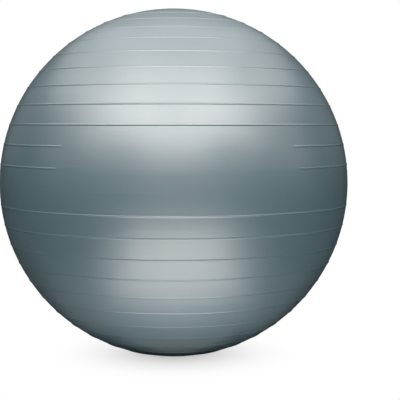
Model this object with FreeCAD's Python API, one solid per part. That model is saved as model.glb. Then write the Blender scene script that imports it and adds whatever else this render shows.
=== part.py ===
"""Exercise ball, 650 mm across: a one-piece PVC skin with moulded ribs, its valve seat and the seat's plug.

Millimetres, +Z up. The origin is the middle of the flat patch that the ball rests on. The valve is at the top
pole. -Y is the front, where the ribs just above the equator stop short of a plain window.
"""
import FreeCAD, Part
import math
import os

# The skin, at its full pressure
BALL_DIAMETER = 650.0
WALL = 1.0
FLOOR_PATCH_RADIUS = 33.0      # where the ball's own weight flattens it

# The raised ribs, which are circles of latitude. The equator has none.
RIB_PITCH = 37.4               # along the skin, from one crest to the next
RIB_WIDTH = 4.0
RIB_HEIGHT = 0.75
PLAIN_CAP_RADIUS = 65.0        # the ribs stop outside this radius at both poles
WINDOW_WIDTHS = {1: 442.0, 2: 425.0}   # gap of the first and second rib up, along the equator, about -Y

# The valve seat, a moulded insert under the top pole
FLANGE_WIDTH = 6.0             # how far the flange runs out past the neck
FLANGE_THICKNESS = 2.4
LANDING_MARGIN = 3.0           # how far the skin's flat landing runs past the flange
NECK_WALL = 1.5                # around the recess for the plug's head
NECK_GAP = 0.05                # radial gap for cement between the neck and the skin's hole
RECESS_FLOOR = 1.6             # least thickness under the plug's head
THROAT_RADIUS = 4.25
THROAT_CHAMFER = 0.5
TUBE_WALL = 2.25
TUBE_LENGTH = 16.0
TUBE_ROOT_RADIUS = 1.2         # fillet between the tube and the flange

# The plug
HEAD_RADIUS = 9.0
HEAD_THICKNESS = 2.0
HEAD_GAP = 0.5                 # radial gap between the head and the wall of its recess
HEAD_SINK = 0.2                # how far the head lies below the seat's rim
HEAD_EDGE = 0.5                # rounding of the head's upper edge
DISH_RADIUS = 6.0
DISH_DEPTH = 0.5
STEM_LENGTH = 15.0
STEM_GAP = 0.05                # radial running clearance of the stem's rings in the throat
STEM_RELIEF = 0.35             # how far the stem lies inside its rings
STEM_TIP_TAPER = 0.6
RING_COUNT = 3
RING_LENGTH = 1.6
RING_BEVEL = 0.35
STEM_WALL = 1.5                # at the tip, around the blind bore
STEM_CROWN = 4.5               # solid stretch between the bore and the dish
NOTCH_RADIUS = 3.0             # half-moon in the head's edge, for a fingernail or the prying tool
NOTCH_DEPTH = 1.6

AXIS_POINT = FreeCAD.Vector(0, 0, 0)
UP = FreeCAD.Vector(0, 0, 1)

outer_radius = BALL_DIAMETER / 2
inner_radius = outer_radius - WALL
centre_z = math.sqrt(outer_radius ** 2 - FLOOR_PATCH_RADIUS ** 2)
pitch_angle = RIB_PITCH / outer_radius
rib_half_angle = RIB_WIDTH / 2 / outer_radius
rib_arc_radius = ((RIB_WIDTH / 2) ** 2 + RIB_HEIGHT ** 2) / (2 * RIB_HEIGHT)
recess_radius = HEAD_RADIUS + HEAD_GAP
neck_radius = recess_radius + NECK_WALL
hole_radius = neck_radius + NECK_GAP
flange_radius = neck_radius + FLANGE_WIDTH
landing_radius = flange_radius + LANDING_MARGIN


def sphere_height(radius, distance):
    """Height of a sphere about the ball's centre, at a distance from the axis, on its upper half."""
    return centre_z + math.sqrt(radius ** 2 - distance ** 2)


landing_z = sphere_height(inner_radius, landing_radius)
neck_top = sphere_height(outer_radius, neck_radius)
recess_floor = neck_top - HEAD_SINK - HEAD_THICKNESS
flange_bottom = min(landing_z - FLANGE_THICKNESS, recess_floor - RECESS_FLOOR)


def at(distance, height):
    """A point of a half section, in the XZ plane."""
    return FreeCAD.Vector(distance, 0, height)


def on_ball(radius, latitude):
    """The point of the half section at a radius from the ball's centre and a latitude in radians."""
    return at(radius * math.cos(latitude), centre_z + radius * math.sin(latitude))


def line(start, end):
    return Part.LineSegment(start, end).toShape()


def arc(start, through, end):
    return Part.Arc(start, through, end).toShape()


def polyline(points):
    return [line(a, b) for a, b in zip(points, points[1:])]


def revolved(edges, angle=360.0):
    """The solid that a closed half section sweeps about the ball's axis."""
    section = Part.Face(Part.Wire(edges))
    return section.revolve(AXIS_POINT, UP, angle)


def rib_numbers():
    """Numbers of the ribs, from the top one to the bottom one. Rib n is n pitches above the equator."""
    last = 0
    while outer_radius * math.cos((last + 1) * pitch_angle + rib_half_angle) > PLAIN_CAP_RADIUS:
        last += 1
    return [n for n in range(last, -last - 1, -1) if n != 0]


def ball_shell():
    """The skin: ribs that run right round are in its half section, and the window's ribs are fused on."""
    hole_top = at(hole_radius, sphere_height(outer_radius, hole_radius))
    upper_end = hole_top
    upper_latitude = math.acos(hole_radius / outer_radius)
    edges = []
    for number in rib_numbers():
        if number in WINDOW_WIDTHS:
            continue
        crest = number * pitch_angle
        top_foot = on_ball(outer_radius, crest + rib_half_angle)
        bottom_foot = on_ball(outer_radius, crest - rib_half_angle)
        between = on_ball(outer_radius, (upper_latitude + crest + rib_half_angle) / 2)
        edges.append(arc(upper_end, between, top_foot))
        edges.append(arc(top_foot, on_ball(outer_radius + RIB_HEIGHT, crest), bottom_foot))
        upper_end = bottom_foot
        upper_latitude = crest - rib_half_angle
    patch_edge = at(FLOOR_PATCH_RADIUS, 0)
    patch_latitude = -math.acos(FLOOR_PATCH_RADIUS / outer_radius)
    edges.append(arc(upper_end, on_ball(outer_radius, (upper_latitude + patch_latitude) / 2), patch_edge))

    inner_patch = at(math.sqrt(inner_radius ** 2 - (centre_z - WALL) ** 2), WALL)
    landing_edge = at(landing_radius, landing_z)
    edges += polyline([patch_edge, at(0, 0), at(0, WALL), inner_patch])
    edges.append(arc(inner_patch, on_ball(inner_radius, 0), landing_edge))
    edges += polyline([landing_edge, at(hole_radius, landing_z), hole_top])

    ribs = []
    for number, width in WINDOW_WIDTHS.items():
        ribs += window_rib(number * pitch_angle, width)
    return revolved(edges).multiFuse(ribs)


def window_rib(latitude, window_width):
    """A rib that stops at both sides of the window: a ring with a gap, and half a dome on each end."""
    outwards = on_ball(1, latitude) - on_ball(0, latitude)
    across = FreeCAD.Vector(-outwards.z, 0, outwards.x)
    arc_centre = on_ball(outer_radius + RIB_HEIGHT - rib_arc_radius, latitude)
    root_depth = WALL / 2
    root_angle = math.acos(1 - (RIB_HEIGHT + root_depth) / rib_arc_radius)

    def on_rib(angle):
        direction = outwards * math.cos(angle) + across * math.sin(angle)
        return arc_centre + direction * rib_arc_radius

    crest = on_rib(0)
    root = (on_rib(root_angle) + on_rib(-root_angle)) / 2
    window_angle = math.degrees(window_width / outer_radius)
    ring_angle = 360 - window_angle
    ring = revolved([arc(on_rib(root_angle), crest, on_rib(-root_angle)),
                     line(on_rib(-root_angle), on_rib(root_angle))], ring_angle)

    half = Part.Face(Part.Wire([arc(crest, on_rib(root_angle / 2), on_rib(root_angle)),
                                line(on_rib(root_angle), root),
                                line(root, crest)]))
    first_end = half.revolve(root, outwards, 180)
    last_end = first_end.copy()
    last_end.rotate(root, outwards, 180)
    last_end.rotate(AXIS_POINT, UP, ring_angle)

    rib = [ring, first_end, last_end]
    for solid in rib:
        solid.rotate(AXIS_POINT, UP, window_angle / 2 - 90)
    return rib


def valve_seat():
    """The insert: a flange against the skin's landing, a neck through its hole and a tube for the plug."""
    tube_radius = THROAT_RADIUS + TUBE_WALL
    tube_bottom = flange_bottom - TUBE_LENGTH
    root_centre = at(tube_radius + TUBE_ROOT_RADIUS, flange_bottom - TUBE_ROOT_RADIUS)
    root_middle = root_centre + FreeCAD.Vector(-1, 0, 1).normalize() * TUBE_ROOT_RADIUS
    root_top = at(tube_radius + TUBE_ROOT_RADIUS, flange_bottom)
    root_bottom = at(tube_radius, flange_bottom - TUBE_ROOT_RADIUS)
    edges = polyline([root_bottom,
                      at(tube_radius, tube_bottom),
                      at(THROAT_RADIUS, tube_bottom),
                      at(THROAT_RADIUS, recess_floor - THROAT_CHAMFER),
                      at(THROAT_RADIUS + THROAT_CHAMFER, recess_floor),
                      at(recess_radius, recess_floor),
                      at(recess_radius, neck_top),
                      at(neck_radius, neck_top),
                      at(neck_radius, landing_z),
                      at(flange_radius, landing_z),
                      at(flange_radius, flange_bottom),
                      root_top])
    edges.append(arc(root_top, root_middle, root_bottom))
    return revolved(edges)


def valve_plug():
    """The stopper: a dished head in the recess, and a hollow ringed stem in the throat."""
    head_top = recess_floor + HEAD_THICKNESS
    edge_centre = at(HEAD_RADIUS - HEAD_EDGE, head_top - HEAD_EDGE)
    edge_middle = edge_centre + FreeCAD.Vector(1, 0, 1).normalize() * HEAD_EDGE
    ring_radius = THROAT_RADIUS - STEM_GAP
    stem_radius = ring_radius - STEM_RELIEF
    tip_radius = stem_radius - STEM_TIP_TAPER
    tip_z = recess_floor - STEM_LENGTH
    bore_radius = tip_radius - STEM_WALL

    # The dish is a shallow spherical cap: its middle point comes from the cap's radius.
    dish_ball = (DISH_RADIUS ** 2 + DISH_DEPTH ** 2) / (2 * DISH_DEPTH)
    dish_half_way = head_top - DISH_DEPTH + dish_ball - math.sqrt(dish_ball ** 2 - (DISH_RADIUS / 2) ** 2)
    edges = [arc(at(0, head_top - DISH_DEPTH), at(DISH_RADIUS / 2, dish_half_way), at(DISH_RADIUS, head_top)),
             line(at(DISH_RADIUS, head_top), at(HEAD_RADIUS - HEAD_EDGE, head_top)),
             arc(at(HEAD_RADIUS - HEAD_EDGE, head_top), edge_middle, at(HEAD_RADIUS, head_top - HEAD_EDGE))]

    outline = [at(HEAD_RADIUS, head_top - HEAD_EDGE), at(HEAD_RADIUS, recess_floor), at(stem_radius, recess_floor)]
    ring_pitch = STEM_LENGTH / (RING_COUNT + 1)
    for ring in range(RING_COUNT):
        ring_top = recess_floor - (ring + 0.5) * ring_pitch
        outline += [at(stem_radius, ring_top),
                    at(ring_radius, ring_top - RING_BEVEL),
                    at(ring_radius, ring_top - RING_LENGTH + RING_BEVEL),
                    at(stem_radius, ring_top - RING_LENGTH)]
    bore_top = head_top - DISH_DEPTH - STEM_CROWN
    outline += [at(tip_radius, tip_z), at(bore_radius, tip_z), at(bore_radius, bore_top), at(0, bore_top)]
    edges += polyline(outline + [at(0, head_top - DISH_DEPTH)])

    notch = Part.makeCylinder(NOTCH_RADIUS, HEAD_THICKNESS,
                              FreeCAD.Vector(0, NOTCH_DEPTH - HEAD_RADIUS - NOTCH_RADIUS, recess_floor), UP)
    return revolved(edges).cut(notch)


os.makedirs("parts", exist_ok=True)
for node in (ball_shell, valve_seat, valve_plug):
    solid = node()
    print(node.__name__, len(solid.Solids), "solid", round(solid.Volume), "mm3")
    solid.exportStep("parts/" + node.__name__ + ".step")
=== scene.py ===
"""Exercise ball: the looks of the skin, the valve seat and the plug, on a pale studio floor.

Metres, +Z up, in the CAD part's frame. The ball rests on z = 0, and its plain window faces -Y.
"""
import math

import bpy
from mathutils import Matrix, Vector


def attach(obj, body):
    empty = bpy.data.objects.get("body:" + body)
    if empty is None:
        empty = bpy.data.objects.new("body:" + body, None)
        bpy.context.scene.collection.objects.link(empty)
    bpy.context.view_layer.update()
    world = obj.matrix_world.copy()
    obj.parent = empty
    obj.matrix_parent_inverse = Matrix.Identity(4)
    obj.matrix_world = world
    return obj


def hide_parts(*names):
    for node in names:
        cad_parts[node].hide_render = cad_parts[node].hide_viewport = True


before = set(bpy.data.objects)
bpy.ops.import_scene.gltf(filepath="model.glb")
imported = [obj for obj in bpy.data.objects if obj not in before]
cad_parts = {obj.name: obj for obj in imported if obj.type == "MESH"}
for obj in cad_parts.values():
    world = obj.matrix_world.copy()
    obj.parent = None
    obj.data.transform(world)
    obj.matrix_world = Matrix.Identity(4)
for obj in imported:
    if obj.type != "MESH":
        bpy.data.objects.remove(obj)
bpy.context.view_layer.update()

# The skin's driving dimensions. They are the CAD part's, but for the ribs' fillets and sunk ends, the
# parting line and the rounding of the valve hole, which only this skin has.
BALL_RADIUS = 0.325
WALL = 0.001
FLOOR_PATCH_RADIUS = 0.033
RIB_PITCH = 0.0374
RIB_FOOT = 0.0044              # from foot to foot: the CAD rib's 4 mm and the fillets along both sides
RIB_HEIGHT = 0.00075
RIBS_PER_SIDE = 11
WINDOW_WIDTHS = {1: 0.442, 2: 0.425}   # gap of the first and second rib up, along the equator, about -Y
RIB_END_FADE = 0.012           # a window rib sinks into the skin over this length
PARTING_HEIGHT = 0.00008       # flash line of the mould, round the equator
PARTING_WIDTH = 0.0026
VALVE_HOLE_RADIUS = 0.01105
VALVE_HOLE_EDGE = 0.0003       # rounding of the hole's outer edge
LANDING_RADIUS = 0.020

# Mesh density
COLUMNS = 240
FADE_COLUMNS = 20              # extra columns across the ends of the window's ribs, on each side
RIB_ROWS = 8                   # steps across a rib
PARTING_ROWS = 4               # steps across the parting line
PLAIN_ROWS = 3                 # steps between two ribs
FOOT_GUARD = 0.0007            # a row this far outside each foot keeps the skin beside it smooth
CAP_ROWS = 7                   # steps beyond the last rib, at the top and at the bottom
INNER_ROWS = 30
PATCH_RING_SHARES = (0.3, 0.6, 0.85)   # rings in the floor patch, as shares of its radius
HOLE_EDGE_TURNS = tuple(map(math.radians, (30, 60, 90)))   # rings round the hole's rounded edge

CENTRE = Vector((0, 0, math.sqrt(BALL_RADIUS ** 2 - FLOOR_PATCH_RADIUS ** 2)))
PITCH_ANGLE = RIB_PITCH / BALL_RADIUS
FRONT = -math.pi / 2

# The camera stands low in front of the ball and looks a little past it
CAMERA_DISTANCE = 2.069
CAMERA_AZIMUTH = math.radians(-1.5)
CAMERA_ELEVATION = math.radians(3.12)
CAMERA_ROLL = math.radians(0.08)
AIM_RIGHT = 0.0487
AIM_DOWN = 0.0325
LENS_MM = 98.4
SENSOR_MM = 36.0

# The studio
FLOOR_RADIUS = 1.5
FLOOR_SIDES = 96
BOUNCE_FLOOR_HEIGHT = -0.0004
SHADE_HEIGHT = -0.0002
SHADE_RADIUS = 0.25            # the shade on the floor ends this far from the ball's axis
SHADE_FALL = 2.2               # how fast the shade fades on its way out
SHADE_FOOT = 0.25              # brightness under the ball
BACKDROP_RADIUS = 8.0
CARD_HEIGHT = 0.01
CARD_FACING = Vector((0, 0.001, 1))    # up, and just enough towards +Y to keep a card's width along X
SOFTBOX_DISTANCE = 2.2

# Softboxes round the ball: name, elevation and azimuth in degrees, width and height, power in watts
SOFTBOXES = (
    ("front_low", 24, 0, 1.6, 0.5, 4.5),
    ("front", 40, 0, 1.2, 0.8, 5.7),
    ("front_side", 40, -34, 1.1, 0.8, 6.5),
    ("front_side", 40, 34, 1.1, 0.8, 6.5),
    ("wing_low", 22, -50, 0.8, 0.5, 0.9),
    ("wing_low", 22, 50, 0.8, 0.5, 0.9),
    ("wing", 42, -66, 0.9, 0.8, 3.0),
    ("wing", 42, 66, 0.9, 0.8, 2.5),
    ("low_side", 15, -80, 0.8, 0.6, 0.5),
    ("low_side", 15, 80, 0.8, 0.6, 0.9),
    ("side", 45, -100, 1.0, 0.9, 2.7),
    ("side", 45, 100, 1.0, 0.9, 2.8),
    ("rim", 15, -126, 1.2, 0.9, 0.5),
    ("rim", 15, 126, 1.2, 0.9, 0.4),
    ("side_back", 45, -135, 1.0, 0.9, 1.5),
    ("side_back", 45, 135, 1.0, 0.9, 1.2),
    ("front_high", 62, 0, 2.0, 0.8, 6.8),
    ("shoulder", 64, -62, 1.0, 0.9, 1.5),
    ("shoulder", 64, 62, 1.0, 0.9, 1.0),
    ("overhead", 90, 0, 2.55, 2.1, 13.8),
    ("back_high", 62, 180, 2.0, 0.8, 3.0),
    ("back", 40, 180, 2.0, 0.9, 1.7),
)
# Fills behind the ball, in the same terms. They light its colour and don't show in reflections.
FILLS = (
    ("fill", 12, -152, 1.2, 0.9, 9.0),
    ("fill", 12, 152, 1.2, 0.9, 9.0),
)
# Light cards on the floor round the ball: shape, azimuth, distance from its axis, width, depth and power
CARDS = (
    ("ELLIPSE", 0, 0.22, 0.50, 0.20, 0.03),
    ("ELLIPSE", 0, 0.36, 0.70, 0.30, 0.10),
    ("RECTANGLE", 0, 0.42, 0.45, 0.25, 0.24),
    ("ELLIPSE", 0, 0.55, 0.80, 0.35, 0.20),
    ("RECTANGLE", 1.5, 0.72, 0.64, 0.36, 0.84),
    ("ELLIPSE", -68, 0.33, 0.30, 0.20, 0.010),
    ("ELLIPSE", 68, 0.33, 0.30, 0.20, 0.008),
    ("ELLIPSE", 180, 0.62, 0.90, 0.42, 0.55),
)
LIGHT_COLOUR = (1.095, 1.045, 1.04)    # slightly warm, and a little brighter than 1

# Materials. Each pair of colours is the darker and the lighter one of its mottle.
SKIN_COLOURS = (0.082, 0.195, 0.230), (0.094, 0.214, 0.250)
SEAT_COLOURS = (0.075, 0.12, 0.13), (0.10, 0.15, 0.165)
PLUG_COLOURS = (0.62, 0.63, 0.60), (0.71, 0.72, 0.69)
STREAK_STRETCH = (1.6, 1.6, 140.0)     # draws the noise out into streaks round the ball
PEARL_IOR = 3.8                # mica in the pearl finish reflects far more than plain PVC does
FILM_IOR = 1.3                 # thin clear film over the pearl
FILM_ROUGHNESS = 0.25


# ---------------------------------------------------------------- skin

def ridge(distance, width, height):
    """Height of a ridge with filleted feet, this far from its middle: a raised cosine across its width."""
    if abs(distance) >= width / 2:
        return 0.0
    return height * (1 + math.cos(2 * math.pi * distance / width)) / 2


def smooth_step(value):
    """0 up to 0, 1 from 1 on, and a smooth rise between them."""
    value = min(1.0, max(0.0, value))
    return value * value * (3 - 2 * value)


def rib_strength(number, azimuth):
    """1 where the rib stands at its full height, 0 inside the window."""
    if number not in WINDOW_WIDTHS:
        return 1.0
    from_front = abs(math.remainder(azimuth - FRONT, 2 * math.pi)) * BALL_RADIUS
    return smooth_step((from_front - WINDOW_WIDTHS[number] / 2) / RIB_END_FADE + 0.5)


def skin_radius(latitude, azimuth):
    """Distance of the outer skin from the ball's centre, with ribs and the parting line."""
    radius = BALL_RADIUS + ridge(latitude * BALL_RADIUS, PARTING_WIDTH, PARTING_HEIGHT)
    number = round(latitude / PITCH_ANGLE)
    if number != 0 and abs(number) <= RIBS_PER_SIDE:
        distance = (latitude - number * PITCH_ANGLE) * BALL_RADIUS
        radius += ridge(distance, RIB_FOOT, RIB_HEIGHT * rib_strength(number, azimuth))
    return radius


def steps(start, end, count):
    """Values from start towards end, without end itself."""
    return [start + (end - start) * i / count for i in range(count)]


def row_latitudes():
    """Latitudes of the outer rows from the floor patch's edge to the hole's edge, dense across each rib."""
    guard = FOOT_GUARD / BALL_RADIUS
    rib_half = RIB_FOOT / 2 / BALL_RADIUS
    parting_half = PARTING_WIDTH / 2 / BALL_RADIUS
    bands = []
    for number in range(-RIBS_PER_SIDE, RIBS_PER_SIDE + 1):
        if number == 0:
            bands.append((0.0, parting_half, PARTING_ROWS))
        else:
            bands.append((number * PITCH_ANGLE, rib_half, RIB_ROWS))
    low = -math.acos(FLOOR_PATCH_RADIUS / BALL_RADIUS)
    high = math.acos((VALVE_HOLE_RADIUS + VALVE_HOLE_EDGE) / BALL_RADIUS)
    rows = []
    for middle, half, count in bands:
        plain = CAP_ROWS if not rows else PLAIN_ROWS
        rows += steps(low, middle - half - guard, plain) + [middle - half - guard]
        rows += steps(middle - half, middle + half, count) + [middle + half]
        low = middle + half + guard
    return rows + steps(low, high - guard, CAP_ROWS) + [high - guard, high]


def column_azimuths():
    """Azimuths of the columns, nearly even, and closer together where the window's ribs end."""
    fade_start = (min(WINDOW_WIDTHS.values()) / 2 - RIB_END_FADE / 2) / BALL_RADIUS
    fade_end = (max(WINDOW_WIDTHS.values()) / 2 + RIB_END_FADE / 2) / BALL_RADIUS
    ends = [-math.pi, -fade_end, -fade_start, fade_start, fade_end, math.pi]
    back = round(COLUMNS * (math.pi - fade_end) / (2 * math.pi))
    counts = [back, FADE_COLUMNS, COLUMNS - 2 * back, FADE_COLUMNS, back]
    azimuths = []
    for start, end, count in zip(ends, ends[1:], counts):
        azimuths += steps(FRONT + start, FRONT + end, count)
    return azimuths


def add_object(name, data):
    """A new object in the scene."""
    thing = bpy.data.objects.new(name, data)
    bpy.context.scene.collection.objects.link(thing)
    return thing


def lathe(name, rings, count):
    """A closed mesh of rings of count points each, in order. The first and the last are one point, a pole."""
    vertices = []
    starts = []
    for ring in rings:
        starts.append(len(vertices))
        vertices += ring
    faces = []
    for number in range(len(rings) - 1):
        a = starts[number]
        b = starts[number + 1]
        for i in range(count):
            j = (i + 1) % count
            if len(rings[number]) == 1:
                faces.append((a, b + j, b + i))
            elif len(rings[number + 1]) == 1:
                faces.append((a + i, a + j, b))
            else:
                faces.append((a + i, a + j, b + j, b + i))
    mesh = bpy.data.meshes.new(name)
    mesh.from_pydata(vertices, [], faces)
    mesh.validate()
    mesh.shade_smooth()
    return add_object(name, mesh)


def circle(radius, height, azimuths):
    """A level ring of points round the ball's axis."""
    return [(radius * math.cos(a), radius * math.sin(a), height) for a in azimuths]


def valve_hole_edge(azimuths):
    """Rings that turn from the outer skin down into the valve hole."""
    top = CENTRE.z + math.sqrt(BALL_RADIUS ** 2 - (VALVE_HOLE_RADIUS + VALVE_HOLE_EDGE) ** 2)
    rings = []
    for turn in HOLE_EDGE_TURNS:
        across = VALVE_HOLE_RADIUS + VALVE_HOLE_EDGE * (1 - math.sin(turn))
        rings.append(circle(across, top - VALVE_HOLE_EDGE * (1 - math.cos(turn)), azimuths))
    return rings


def make_skin():
    """The skin: outer surface from the floor patch up to the valve hole, then the inner surface back down."""
    azimuths = column_azimuths()
    rings = [[(0, 0, 0)]]
    for share in PATCH_RING_SHARES:
        rings.append(circle(FLOOR_PATCH_RADIUS * share, 0, azimuths))
    for latitude in row_latitudes():
        ring = []
        for azimuth in azimuths:
            radius = skin_radius(latitude, azimuth)
            across = radius * math.cos(latitude)
            height = CENTRE.z + radius * math.sin(latitude)
            ring.append((across * math.cos(azimuth), across * math.sin(azimuth), max(0.0, height)))
        rings.append(ring)
    rings += valve_hole_edge(azimuths)

    inner = BALL_RADIUS - WALL
    landing = CENTRE.z + math.sqrt(inner ** 2 - LANDING_RADIUS ** 2)
    rings.append(circle(VALVE_HOLE_RADIUS, landing, azimuths))
    high = math.acos(LANDING_RADIUS / inner)
    inner_patch = math.sqrt(inner ** 2 - (CENTRE.z - WALL) ** 2)
    low = -math.acos(inner_patch / inner)
    for latitude in steps(high, low, INNER_ROWS) + [low]:
        rings.append(circle(inner * math.cos(latitude), CENTRE.z + inner * math.sin(latitude), azimuths))
    rings.append([(0, 0, WALL)])
    return lathe("ball_skin", rings, len(azimuths))


# ---------------------------------------------------------------- materials

def node_material(name):
    """A new material and its shader."""
    material = bpy.data.materials.new(name)
    material.use_nodes = True
    shader = next(node for node in material.node_tree.nodes if node.type == "BSDF_PRINCIPLED")
    return material, shader


def feed(tree, socket, value):
    """Links the socket to another one, or sets its number or colour."""
    if isinstance(value, bpy.types.NodeSocket):
        tree.links.new(value, socket)
    else:
        socket.default_value = value


def add(tree, kind, **inputs):
    """A new node with its inputs set or linked."""
    node = tree.nodes.new(kind)
    for name, value in inputs.items():
        feed(tree, node.inputs[name.replace("_", " ")], value)
    return node


def object_place(tree):
    """The point on the surface, in metres from the origin."""
    return tree.nodes.new("ShaderNodeTexCoord").outputs["Object"]


def noise(tree, vector, scale, detail, roughness=0.5):
    """Noise from 0 to 1, with this many cells to a metre."""
    return add(tree, "ShaderNodeTexNoise", Vector=vector, Scale=scale, Detail=detail,
               Roughness=roughness).outputs["Fac"]


def stretched(tree, vector, scale):
    return add(tree, "ShaderNodeMapping", Vector=vector, Scale=scale).outputs["Vector"]


def ranged(tree, value, low, high):
    """A 0 to 1 value, spread over low to high."""
    return add(tree, "ShaderNodeMapRange", Value=value, To_Min=low, To_Max=high).outputs["Result"]


def maths(tree, operation, first, second):
    """The result of an operation on two numbers or sockets."""
    node = tree.nodes.new("ShaderNodeMath")
    node.operation = operation
    feed(tree, node.inputs[0], first)
    feed(tree, node.inputs[1], second)
    return node.outputs["Value"]


def blended(tree, factor, colours):
    """A colour between the darker and the lighter one."""
    node = tree.nodes.new("ShaderNodeMix")
    node.data_type = "RGBA"
    tree.links.new(factor, node.inputs["Factor"])
    for socket, value in zip([s for s in node.inputs if s.type == "RGBA"], colours):
        socket.default_value = (*value, 1.0)
    return next(s for s in node.outputs if s.type == "RGBA")


def two_bumps(tree, coarse, fine):
    """Fine bump over coarse bump. Each is a height, a strength and a depth in metres."""
    height, strength, depth = coarse
    below = add(tree, "ShaderNodeBump", Height=height, Strength=strength, Distance=depth)
    height, strength, depth = fine
    above = add(tree, "ShaderNodeBump", Height=height, Strength=strength, Distance=depth,
                Normal=below.outputs["Normal"])
    return above.outputs["Normal"]


def skin_material():
    """Pearly PVC: a teal grey with fine streaks round the ball and a soft satin sheen."""
    material, shader = node_material("pearl_pvc")
    tree = material.node_tree
    place = object_place(tree)
    streaks = noise(tree, stretched(tree, place, STREAK_STRETCH), scale=3.0, detail=4.0, roughness=0.6)
    clouds = noise(tree, place, scale=7.0, detail=2.0)
    grain = noise(tree, place, scale=900.0, detail=2.0)
    feed(tree, shader.inputs["Base Color"], blended(tree, ranged(tree, clouds, 0.2, 0.8), SKIN_COLOURS))
    feed(tree, shader.inputs["Roughness"], ranged(tree, streaks, 0.42, 0.50))
    feed(tree, shader.inputs["Normal"], two_bumps(tree, (streaks, 0.25, 0.0004), (grain, 0.15, 0.0001)))
    shader.inputs["IOR"].default_value = PEARL_IOR
    shader.inputs["Coat Weight"].default_value = 1.0
    shader.inputs["Coat Roughness"].default_value = FILM_ROUGHNESS
    shader.inputs["Coat IOR"].default_value = FILM_IOR
    return material


def seat_material():
    """Softer, darker PVC of the moulded valve seat."""
    material, shader = node_material("seat_pvc")
    tree = material.node_tree
    place = object_place(tree)
    mottle = noise(tree, place, scale=300.0, detail=3.0)
    grain = noise(tree, place, scale=1800.0, detail=2.0)
    feed(tree, shader.inputs["Base Color"], blended(tree, mottle, SEAT_COLOURS))
    feed(tree, shader.inputs["Roughness"], ranged(tree, mottle, 0.42, 0.55))
    feed(tree, shader.inputs["Normal"], two_bumps(tree, (mottle, 0.2, 0.0001), (grain, 0.3, 0.00005)))
    shader.inputs["Metallic"].default_value = 0.15
    return material


def plug_material():
    """Off-white polyethylene with a faint mottle and a waxy sheen."""
    material, shader = node_material("plug_plastic")
    tree = material.node_tree
    place = object_place(tree)
    mottle = noise(tree, place, scale=220.0, detail=3.0)
    grain = noise(tree, place, scale=1500.0, detail=2.0)
    feed(tree, shader.inputs["Base Color"], blended(tree, mottle, PLUG_COLOURS))
    feed(tree, shader.inputs["Roughness"], ranged(tree, mottle, 0.34, 0.48))
    feed(tree, shader.inputs["Normal"], two_bumps(tree, (mottle, 0.15, 0.0001), (grain, 0.25, 0.00005)))
    shader.inputs["Subsurface Weight"].default_value = 0.1
    shader.inputs["Subsurface Radius"].default_value = (0.002, 0.002, 0.0015)
    return material


def glowing_material(name):
    """A material that only glows, in white, and its shader."""
    material, shader = node_material(name)
    shader.inputs["Base Color"].default_value = (0.0, 0.0, 0.0, 1.0)
    shader.inputs["Specular IOR Level"].default_value = 0.0
    shader.inputs["Emission Color"].default_value = (1.0, 1.0, 1.0, 1.0)
    return material, shader


def paint(piece, material):
    piece.data.materials.clear()
    piece.data.materials.append(material)


# ---------------------------------------------------------------- studio

def disc(name, height):
    """A level disc of the floor's size, at this height."""
    bpy.ops.mesh.primitive_circle_add(vertices=FLOOR_SIDES, radius=FLOOR_RADIUS, fill_type="NGON",
                                      location=(0, 0, height))
    bpy.context.object.name = name
    return bpy.context.object


def only_for_camera(piece):
    piece.visible_diffuse = False
    piece.visible_glossy = False
    piece.visible_transmission = False
    piece.visible_shadow = False


def make_floor():
    """A pale floor that the light bounces off, which the camera doesn't see."""
    floor = disc("floor", BOUNCE_FLOOR_HEIGHT)
    material, shader = node_material("floor_white")
    shader.inputs["Base Color"].default_value = (0.9, 0.9, 0.9, 1.0)
    shader.inputs["Roughness"].default_value = 0.8
    paint(floor, material)
    floor.visible_camera = False
    floor.visible_glossy = False


def make_floor_shade():
    """The floor as the camera sees it: white, with a soft shade that fades out round the ball's foot.

    The material draws the shade. The lights don't cast it.
    """
    shade = disc("floor_shade", SHADE_HEIGHT)
    material, shader = glowing_material("floor_shade")
    tree = material.node_tree
    distance = add(tree, "ShaderNodeVectorMath", Vector=object_place(tree))
    distance.operation = "LENGTH"
    outwards = add(tree, "ShaderNodeMapRange", Value=distance.outputs["Value"], From_Max=SHADE_RADIUS)
    inwards = maths(tree, "SUBTRACT", 1.0, outwards.outputs["Result"])
    depth = maths(tree, "POWER", inwards, SHADE_FALL)
    feed(tree, shader.inputs["Emission Strength"], ranged(tree, depth, 1.0, SHADE_FOOT))
    paint(shade, material)
    only_for_camera(shade)


def make_backdrop():
    """A white dome round the studio, which only the camera sees."""
    bpy.ops.mesh.primitive_uv_sphere_add(segments=48, ring_count=24, radius=BACKDROP_RADIUS, location=CENTRE)
    dome = bpy.context.object
    dome.name = "backdrop"
    material, shader = glowing_material("backdrop_white")
    shader.inputs["Emission Strength"].default_value = 1.0
    paint(dome, material)
    only_for_camera(dome)


def make_world():
    """A black world: all the light comes from the softboxes, the fills and the cards."""
    world = bpy.data.worlds.new("studio")
    bpy.context.scene.world = world
    world.use_nodes = True
    world.node_tree.nodes["Background"].inputs["Strength"].default_value = 0.0


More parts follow.
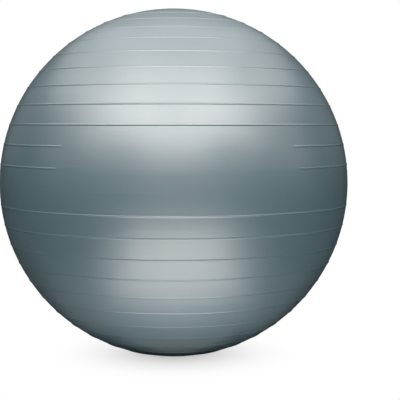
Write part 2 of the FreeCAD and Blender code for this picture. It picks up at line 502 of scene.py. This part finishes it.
def area_light(name, shape, place, facing, size, power):
    """An area light, its width and height in size, which the camera doesn't see."""
    data = bpy.data.lights.new(name, "AREA")
    data.shape = shape
    data.size, data.size_y = size
    data.energy = power
    data.color = LIGHT_COLOUR
    light = add_object(name, data)
    light.location = place
    light.rotation_euler = facing.to_track_quat("-Z", "Y").to_euler()
    light.visible_camera = False
    return light


def direction(azimuth, elevation):
    """Unit vector from the ball's centre. Azimuth 0 is the front, -Y, and grows towards +X."""
    return Vector((math.sin(azimuth) * math.cos(elevation),
                   -math.cos(azimuth) * math.cos(elevation),
                   math.sin(elevation)))


def softbox(name, elevation, azimuth, width, height, power):
    """A rectangular light that faces the ball's centre. Its azimuth counts from the camera's."""
    outwards = direction(CAMERA_AZIMUTH + math.radians(azimuth), math.radians(elevation))
    place = CENTRE + outwards * SOFTBOX_DISTANCE
    return area_light(name, "RECTANGLE", place, -outwards, (width, height), power)


def make_lights():
    """A dome of softboxes, brightest above the front, fills behind the ball, and light cards on the floor."""
    for settings in SOFTBOXES:
        softbox(*settings)
    for settings in FILLS:
        softbox(*settings).visible_glossy = False
    for shape, azimuth, distance, width, depth, power in CARDS:
        place = direction(math.radians(azimuth), 0) * distance + Vector((0, 0, CARD_HEIGHT))
        area_light("card", shape, place, CARD_FACING, (width, depth), power)


def make_camera():
    """The camera looks past the ball's centre, to the right of it and below it."""
    outwards = direction(CAMERA_AZIMUTH, CAMERA_ELEVATION)
    right = Vector((0, 0, 1)).cross(outwards).normalized()
    upwards = outwards.cross(right)
    place = CENTRE + outwards * CAMERA_DISTANCE
    aim = CENTRE + right * AIM_RIGHT - upwards * AIM_DOWN
    turn = (aim - place).to_track_quat("-Z", "Y").to_matrix().to_4x4()
    data = bpy.data.cameras.new("camera")
    data.lens = LENS_MM
    data.sensor_width = SENSOR_MM
    camera = add_object("camera", data)
    camera.matrix_world = Matrix.Translation(place) @ turn @ Matrix.Rotation(CAMERA_ROLL, 4, "Z")
    bpy.context.scene.camera = camera


# ---------------------------------------------------------------- the scene

make_camera()

skin = make_skin()
paint(skin, skin_material())
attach(skin, "ball")
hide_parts("ball_shell")

paint(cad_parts["valve_seat"], seat_material())
paint(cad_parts["valve_plug"], plug_material())

make_floor()
make_floor_shade()
make_backdrop()
make_world()
make_lights()
bpy.context.scene.view_settings.view_transform = "Standard"
